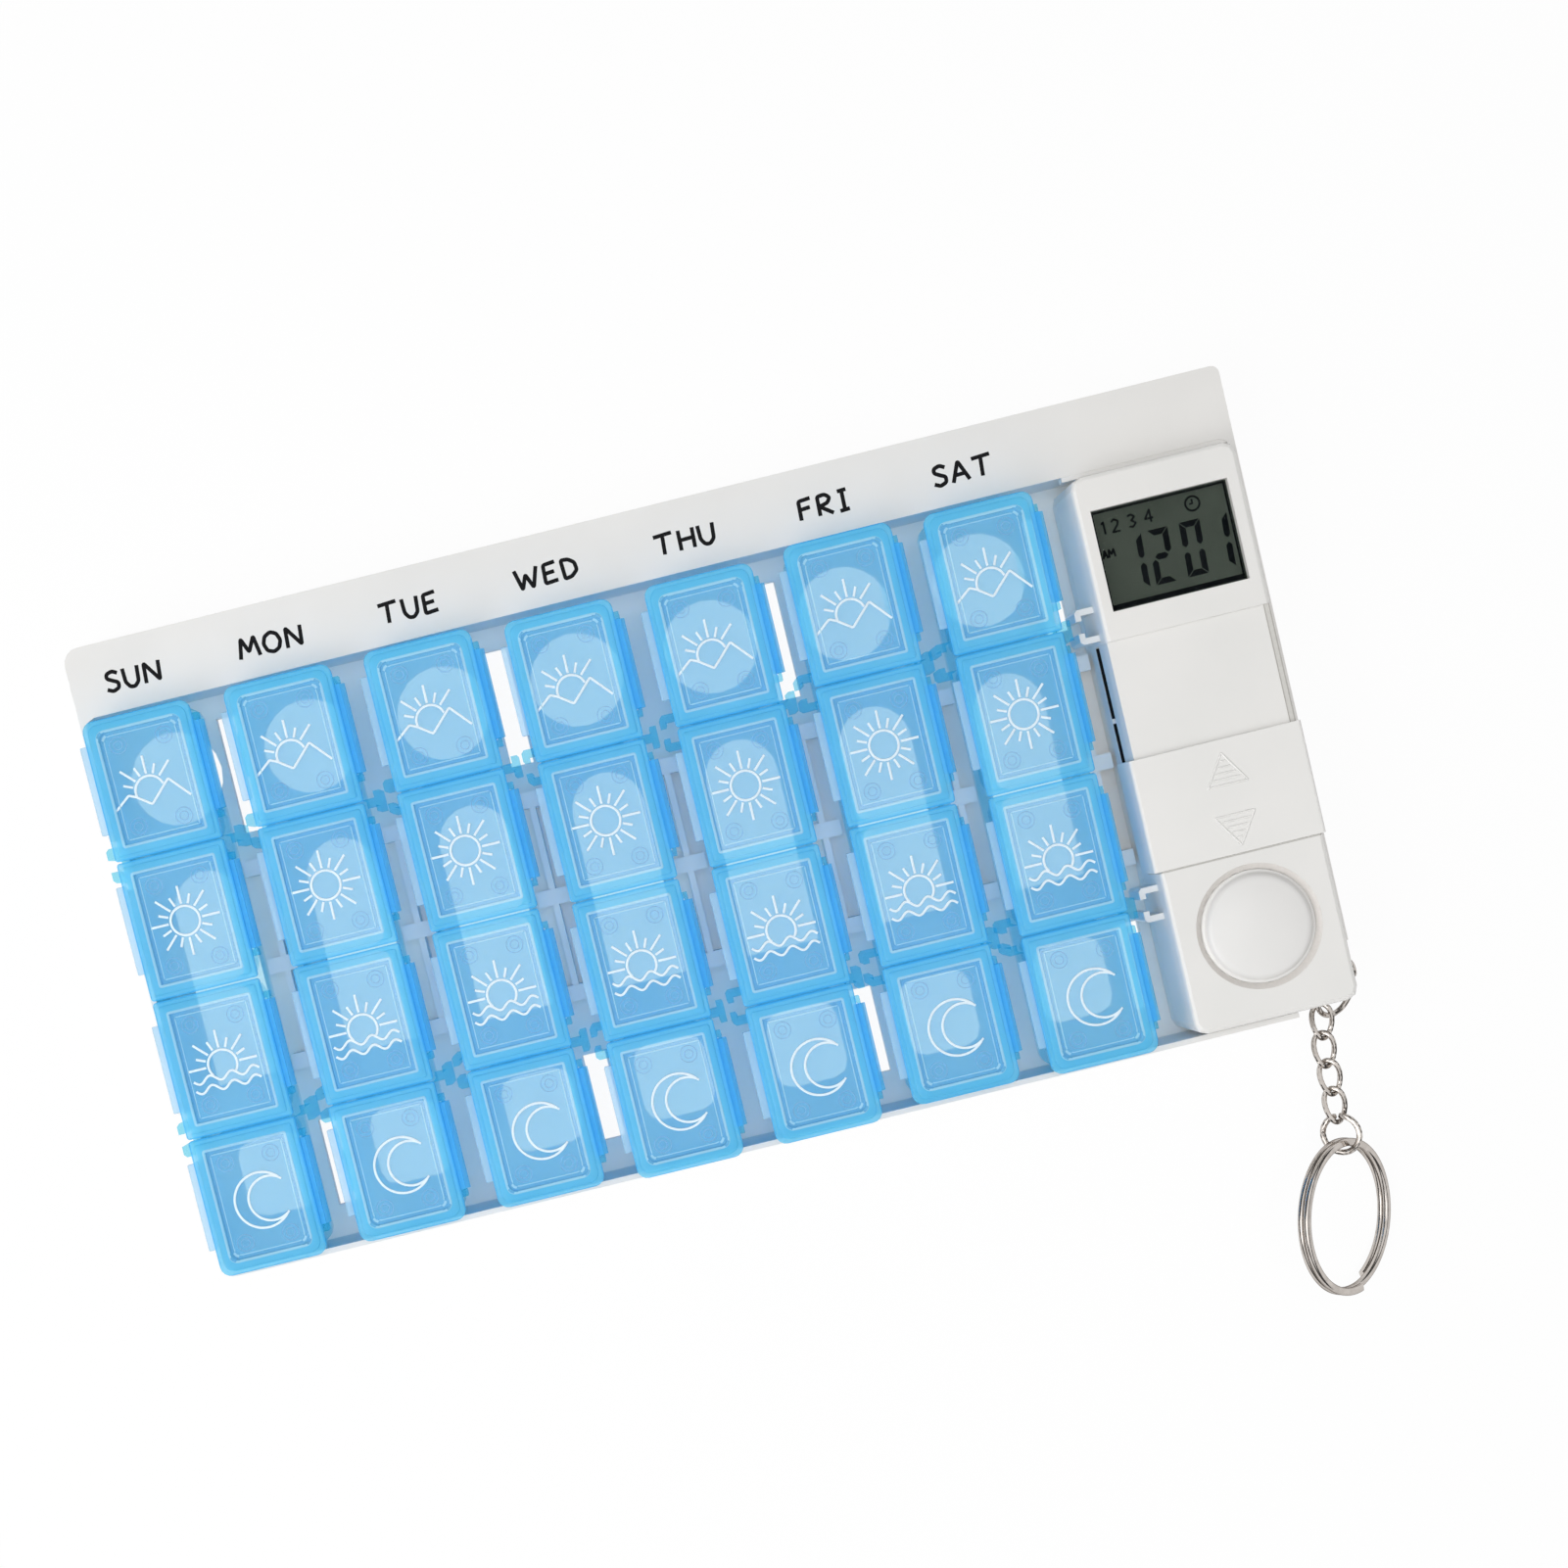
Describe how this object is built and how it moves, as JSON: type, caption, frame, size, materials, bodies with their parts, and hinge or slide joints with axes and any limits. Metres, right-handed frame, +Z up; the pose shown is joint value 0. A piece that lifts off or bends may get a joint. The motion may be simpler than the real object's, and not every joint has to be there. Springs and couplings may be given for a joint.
{
  "type": "electronic pill box",
  "caption": "Weekly pill organizer: ribbed tray with lift-out day strips of hinged-lid cells, a clip-in alarm timer with display, slide cover and button, and a key ring chain.",
  "frame": {"origin": "middle of the tray's flat underside, on the plane that the tray rests on", "axes": "+X along the tray towards the timer, +Y towards the header that carries the day names, +Z up out of the lids"},
  "size_m": [0.2233, 0.1756, 0.0249],
  "materials": {
    "warm_white_abs": "fine satin moulded plastic",
    "clear_blue": "translucent tinted plastic, frosted faces",
    "display_glass": "grey-green liquid crystal display",
    "clear_lens": "clear window",
    "board_green": "coated circuit board",
    "dark_plastic": "black moulded plastic",
    "bright_steel": "bright nickel plate",
    "pearl_white": "soft gloss button"
  },
  "bodies": {
    "tray": {"tray": "warm_white_abs"},
    "timer": {"timer_case": "warm_white_abs", "timer_back": "warm_white_abs", "lcd_lens": "clear_lens", "lcd_panel": "display_glass", "lcd_frame": "dark_plastic", "circuit_board": "board_green", "buzzer": "dark_plastic", "coin_cell": "bright_steel", "contact_minus": "bright_steel", "contact_plus": "bright_steel", "button_switch": "dark_plastic"},
    "slide_cover": {"slide_cover": "warm_white_abs"},
    "dome_button": {"dome_button": "pearl_white"},
    "set_key_1": {"set_key_1": "dark_plastic"},
    "set_key_2": {"set_key_2": "dark_plastic"},
    "set_key_3": {"set_key_3": "dark_plastic"},
    "battery_door": {"battery_door": "warm_white_abs"},
    "corner_ring": {"corner_ring": "bright_steel"},
    "chain_link_1": {"chain_link_1": "bright_steel"},
    "chain_link_2": {"chain_link_2": "bright_steel"},
    "chain_link_3": {"chain_link_3": "bright_steel"},
    "chain_link_4": {"chain_link_4": "bright_steel"},
    "jump_ring": {"jump_ring": "bright_steel"},
    "split_ring": {"split_ring": "bright_steel"},
    "strip_sun": {"strip_sun": "clear_blue"},
    "strip_mon": {"strip_mon": "clear_blue"},
    "strip_tue": {"strip_tue": "clear_blue"},
    "strip_wed": {"strip_wed": "clear_blue"},
    "strip_thu": {"strip_thu": "clear_blue"},
    "strip_fri": {"strip_fri": "clear_blue"},
    "strip_sat": {"strip_sat": "clear_blue"},
    "lid_sun_1": {"lid_sun_1": "clear_blue"},
    "lid_sun_2": {"lid_sun_2": "clear_blue"},
    "lid_sun_3": {"lid_sun_3": "clear_blue"},
    "lid_sun_4": {"lid_sun_4": "clear_blue"},
    "lid_mon_1": {"lid_mon_1": "clear_blue"},
    "lid_mon_2": {"lid_mon_2": "clear_blue"},
    "lid_mon_3": {"lid_mon_3": "clear_blue"},
    "lid_mon_4": {"lid_mon_4": "clear_blue"},
    "lid_tue_1": {"lid_tue_1": "clear_blue"},
    "lid_tue_2": {"lid_tue_2": "clear_blue"},
    "lid_tue_3": {"lid_tue_3": "clear_blue"},
    "lid_tue_4": {"lid_tue_4": "clear_blue"},
    "lid_wed_1": {"lid_wed_1": "clear_blue"},
    "lid_wed_2": {"lid_wed_2": "clear_blue"},
    "lid_wed_3": {"lid_wed_3": "clear_blue"},
    "lid_wed_4": {"lid_wed_4": "clear_blue"},
    "lid_thu_1": {"lid_thu_1": "clear_blue"},
    "lid_thu_2": {"lid_thu_2": "clear_blue"},
    "lid_thu_3": {"lid_thu_3": "clear_blue"},
    "lid_thu_4": {"lid_thu_4": "clear_blue"},
    "lid_fri_1": {"lid_fri_1": "clear_blue"},
    "lid_fri_2": {"lid_fri_2": "clear_blue"},
    "lid_fri_3": {"lid_fri_3": "clear_blue"},
    "lid_fri_4": {"lid_fri_4": "clear_blue"},
    "lid_sat_1": {"lid_sat_1": "clear_blue"},
    "lid_sat_2": {"lid_sat_2": "clear_blue"},
    "lid_sat_3": {"lid_sat_3": "clear_blue"},
    "lid_sat_4": {"lid_sat_4": "clear_blue"}
  },
  "joints": [
    {"name": "timer_lift", "type": "slide", "parent": "tray", "child": "timer", "axis": [0, 0, 1], "range_m": [0, 0.025]},
    {"name": "cover_slide", "type": "slide", "parent": "timer", "child": "slide_cover", "axis": [0, 1, 0], "range_m": [0, 0.0217]},
    {"name": "button_press", "type": "slide", "parent": "timer", "child": "dome_button", "axis": [0, 0, -1], "range_m": [0, 0.0008], "stiffness_N_per_m": 500},
    {"name": "key_1_press", "type": "slide", "parent": "timer", "child": "set_key_1", "axis": [0, 0, -1], "range_m": [0, 0.0005], "stiffness_N_per_m": 500},
    {"name": "key_2_press", "type": "slide", "parent": "timer", "child": "set_key_2", "axis": [0, 0, -1], "range_m": [0, 0.0005], "stiffness_N_per_m": 500},
    {"name": "key_3_press", "type": "slide", "parent": "timer", "child": "set_key_3", "axis": [0, 0, -1], "range_m": [0, 0.0005], "stiffness_N_per_m": 500},
    {"name": "battery_door_turn", "type": "hinge", "parent": "timer", "child": "battery_door", "pos_m": [0.09262, 0.0138, 0.0035], "axis": [0, 0, 1], "range_deg": [0, 30]},
    {"name": "corner_ring_turn", "type": "hinge", "parent": "timer", "child": "corner_ring", "pos_m": [0.1073, -0.0573, 0.0101], "axis": [0.5349, -0.4004, 0.744], "range_deg": [-4, 4]},
    {"name": "link_1_swing", "type": "hinge", "parent": "corner_ring", "child": "chain_link_1", "pos_m": [0.1039, -0.06074, 0.01046], "axis": [0, 0, 1], "range_deg": [-8, 8]},
    {"name": "link_2_lift", "type": "hinge", "parent": "chain_link_1", "child": "chain_link_2", "pos_m": [0.10292, -0.06557, 0.0105], "axis": [-0.9969, 0.0785, 0], "range_deg": [0, 8]},
    {"name": "link_3_swing", "type": "hinge", "parent": "chain_link_2", "child": "chain_link_3", "pos_m": [0.1025, -0.07095, 0.0105], "axis": [0, 0, 1], "range_deg": [-8, 8]},
    {"name": "link_4_lift", "type": "hinge", "parent": "chain_link_3", "child": "chain_link_4", "pos_m": [0.10231, -0.07634, 0.0105], "axis": [-0.9994, 0.0349, 0], "range_deg": [0, 8]},
    {"name": "jump_ring_swing", "type": "hinge", "parent": "chain_link_4", "child": "jump_ring", "pos_m": [0.1021, -0.08171, 0.0105], "axis": [0, 0, 1], "range_deg": [-8, 8]},
    {"name": "split_ring_turn", "type": "hinge", "parent": "jump_ring", "child": "split_ring", "pos_m": [0.09926, -0.10021, 0.0108], "axis": [0.6562, -0.1311, 0.7431], "range_deg": [-30, 5]},
    {"name": "strip_sun_lift", "type": "slide", "parent": "tray", "child": "strip_sun", "axis": [0, 0, 1], "range_m": [0, 0.025]},
    {"name": "lid_sun_1_open", "type": "hinge", "parent": "strip_sun", "child": "lid_sun_1", "pos_m": [-0.0875, 0.03279, 0.0216], "axis": [0, 1, 0], "range_deg": [0, 110]},
    {"name": "lid_sun_2_open", "type": "hinge", "parent": "strip_sun", "child": "lid_sun_2", "pos_m": [-0.0875, 0.00643, 0.0216], "axis": [0, 1, 0], "range_deg": [0, 110]},
    {"name": "lid_sun_3_open", "type": "hinge", "parent": "strip_sun", "child": "lid_sun_3", "pos_m": [-0.0875, -0.01991, 0.0216], "axis": [0, 1, 0], "range_deg": [0, 110]},
    {"name": "lid_sun_4_open", "type": "hinge", "parent": "strip_sun", "child": "lid_sun_4", "pos_m": [-0.0875, -0.04627, 0.0216], "axis": [0, 1, 0], "range_deg": [0, 110]},
    {"name": "strip_mon_lift", "type": "slide", "parent": "tray", "child": "strip_mon", "axis": [0, 0, 1], "range_m": [0, 0.025]},
    {"name": "lid_mon_1_open", "type": "hinge", "parent": "strip_mon", "child": "lid_mon_1", "pos_m": [-0.06084, 0.0329, 0.0216], "axis": [0, 1, 0], "range_deg": [0, 110]},
    {"name": "lid_mon_2_open", "type": "hinge", "parent": "strip_mon", "child": "lid_mon_2", "pos_m": [-0.06084, 0.00656, 0.0216], "axis": [0, 1, 0], "range_deg": [0, 110]},
    {"name": "lid_mon_3_open", "type": "hinge", "parent": "strip_mon", "child": "lid_mon_3", "pos_m": [-0.06084, -0.0198, 0.0216], "axis": [0, 1, 0], "range_deg": [0, 110]},
    {"name": "lid_mon_4_open", "type": "hinge", "parent": "strip_mon", "child": "lid_mon_4", "pos_m": [-0.06084, -0.04614, 0.0216], "axis": [0, 1, 0], "range_deg": [0, 110]},
    {"name": "strip_tue_lift", "type": "slide", "parent": "tray", "child": "strip_tue", "axis": [0, 0, 1], "range_m": [0, 0.025]},
    {"name": "lid_tue_1_open", "type": "hinge", "parent": "strip_tue", "child": "lid_tue_1", "pos_m": [-0.03448, 0.03297, 0.0216], "axis": [0, 1, 0], "range_deg": [0, 110]},
    {"name": "lid_tue_2_open", "type": "hinge", "parent": "strip_tue", "child": "lid_tue_2", "pos_m": [-0.03448, 0.00662, 0.0216], "axis": [0, 1, 0], "range_deg": [0, 110]},
    {"name": "lid_tue_3_open", "type": "hinge", "parent": "strip_tue", "child": "lid_tue_3", "pos_m": [-0.03448, -0.01973, 0.0216], "axis": [0, 1, 0], "range_deg": [0, 110]},
    {"name": "lid_tue_4_open", "type": "hinge", "parent": "strip_tue", "child": "lid_tue_4", "pos_m": [-0.03448, -0.04609, 0.0216], "axis": [0, 1, 0], "range_deg": [0, 110]},
    {"name": "strip_wed_lift", "type": "slide", "parent": "tray", "child": "strip_wed", "axis": [0, 0, 1], "range_m": [0, 0.025]},
    {"name": "lid_wed_1_open", "type": "hinge", "parent": "strip_wed", "child": "lid_wed_1", "pos_m": [-0.00821, 0.03213, 0.0216], "axis": [0, 1, 0], "range_deg": [0, 110]},
    {"name": "lid_wed_2_open", "type": "hinge", "parent": "strip_wed", "child": "lid_wed_2", "pos_m": [-0.00821, 0.00577, 0.0216], "axis": [0, 1, 0], "range_deg": [0, 110]},
    {"name": "lid_wed_3_open", "type": "hinge", "parent": "strip_wed", "child": "lid_wed_3", "pos_m": [-0.00821, -0.02057, 0.0216], "axis": [0, 1, 0], "range_deg": [0, 110]},
    {"name": "lid_wed_4_open", "type": "hinge", "parent": "strip_wed", "child": "lid_wed_4", "pos_m": [-0.00821, -0.04693, 0.0216], "axis": [0, 1, 0], "range_deg": [0, 110]},
    {"name": "strip_thu_lift", "type": "slide", "parent": "tray", "child": "strip_thu", "axis": [0, 0, 1], "range_m": [0, 0.025]},
    {"name": "lid_thu_1_open", "type": "hinge", "parent": "strip_thu", "child": "lid_thu_1", "pos_m": [0.01815, 0.03225, 0.0216], "axis": [0, 1, 0], "range_deg": [0, 110]},
    {"name": "lid_thu_2_open", "type": "hinge", "parent": "strip_thu", "child": "lid_thu_2", "pos_m": [0.01815, 0.0059, 0.0216], "axis": [0, 1, 0], "range_deg": [0, 110]},
    {"name": "lid_thu_3_open", "type": "hinge", "parent": "strip_thu", "child": "lid_thu_3", "pos_m": [0.01815, -0.02046, 0.0216], "axis": [0, 1, 0], "range_deg": [0, 110]},
    {"name": "lid_thu_4_open", "type": "hinge", "parent": "strip_thu", "child": "lid_thu_4", "pos_m": [0.01815, -0.0468, 0.0216], "axis": [0, 1, 0], "range_deg": [0, 110]},
    {"name": "strip_fri_lift", "type": "slide", "parent": "tray", "child": "strip_fri", "axis": [0, 0, 1], "range_m": [0, 0.025]},
    {"name": "lid_fri_1_open", "type": "hinge", "parent": "strip_fri", "child": "lid_fri_1", "pos_m": [0.04439, 0.03333, 0.0216], "axis": [0, 1, 0], "range_deg": [0, 110]},
    {"name": "lid_fri_2_open", "type": "hinge", "parent": "strip_fri", "child": "lid_fri_2", "pos_m": [0.04439, 0.00698, 0.0216], "axis": [0, 1, 0], "range_deg": [0, 110]},
    {"name": "lid_fri_3_open", "type": "hinge", "parent": "strip_fri", "child": "lid_fri_3", "pos_m": [0.04439, -0.01937, 0.0216], "axis": [0, 1, 0], "range_deg": [0, 110]},
    {"name": "lid_fri_4_open", "type": "hinge", "parent": "strip_fri", "child": "lid_fri_4", "pos_m": [0.04439, -0.04573, 0.0216], "axis": [0, 1, 0], "range_deg": [0, 110]},
    {"name": "strip_sat_lift", "type": "slide", "parent": "tray", "child": "strip_sat", "axis": [0, 0, 1], "range_m": [0, 0.025]},
    {"name": "lid_sat_1_open", "type": "hinge", "parent": "strip_sat", "child": "lid_sat_1", "pos_m": [0.07048, 0.03272, 0.0216], "axis": [0, 1, 0], "range_deg": [0, 110]},
    {"name": "lid_sat_2_open", "type": "hinge", "parent": "strip_sat", "child": "lid_sat_2", "pos_m": [0.07048, 0.00637, 0.0216], "axis": [0, 1, 0], "range_deg": [0, 110]},
    {"name": "lid_sat_3_open", "type": "hinge", "parent": "strip_sat", "child": "lid_sat_3", "pos_m": [0.07048, -0.01997, 0.0216], "axis": [0, 1, 0], "range_deg": [0, 110]},
    {"name": "lid_sat_4_open", "type": "hinge", "parent": "strip_sat", "child": "lid_sat_4", "pos_m": [0.07048, -0.04632, 0.0216], "axis": [0, 1, 0], "range_deg": [0, 110]}
  ]
}
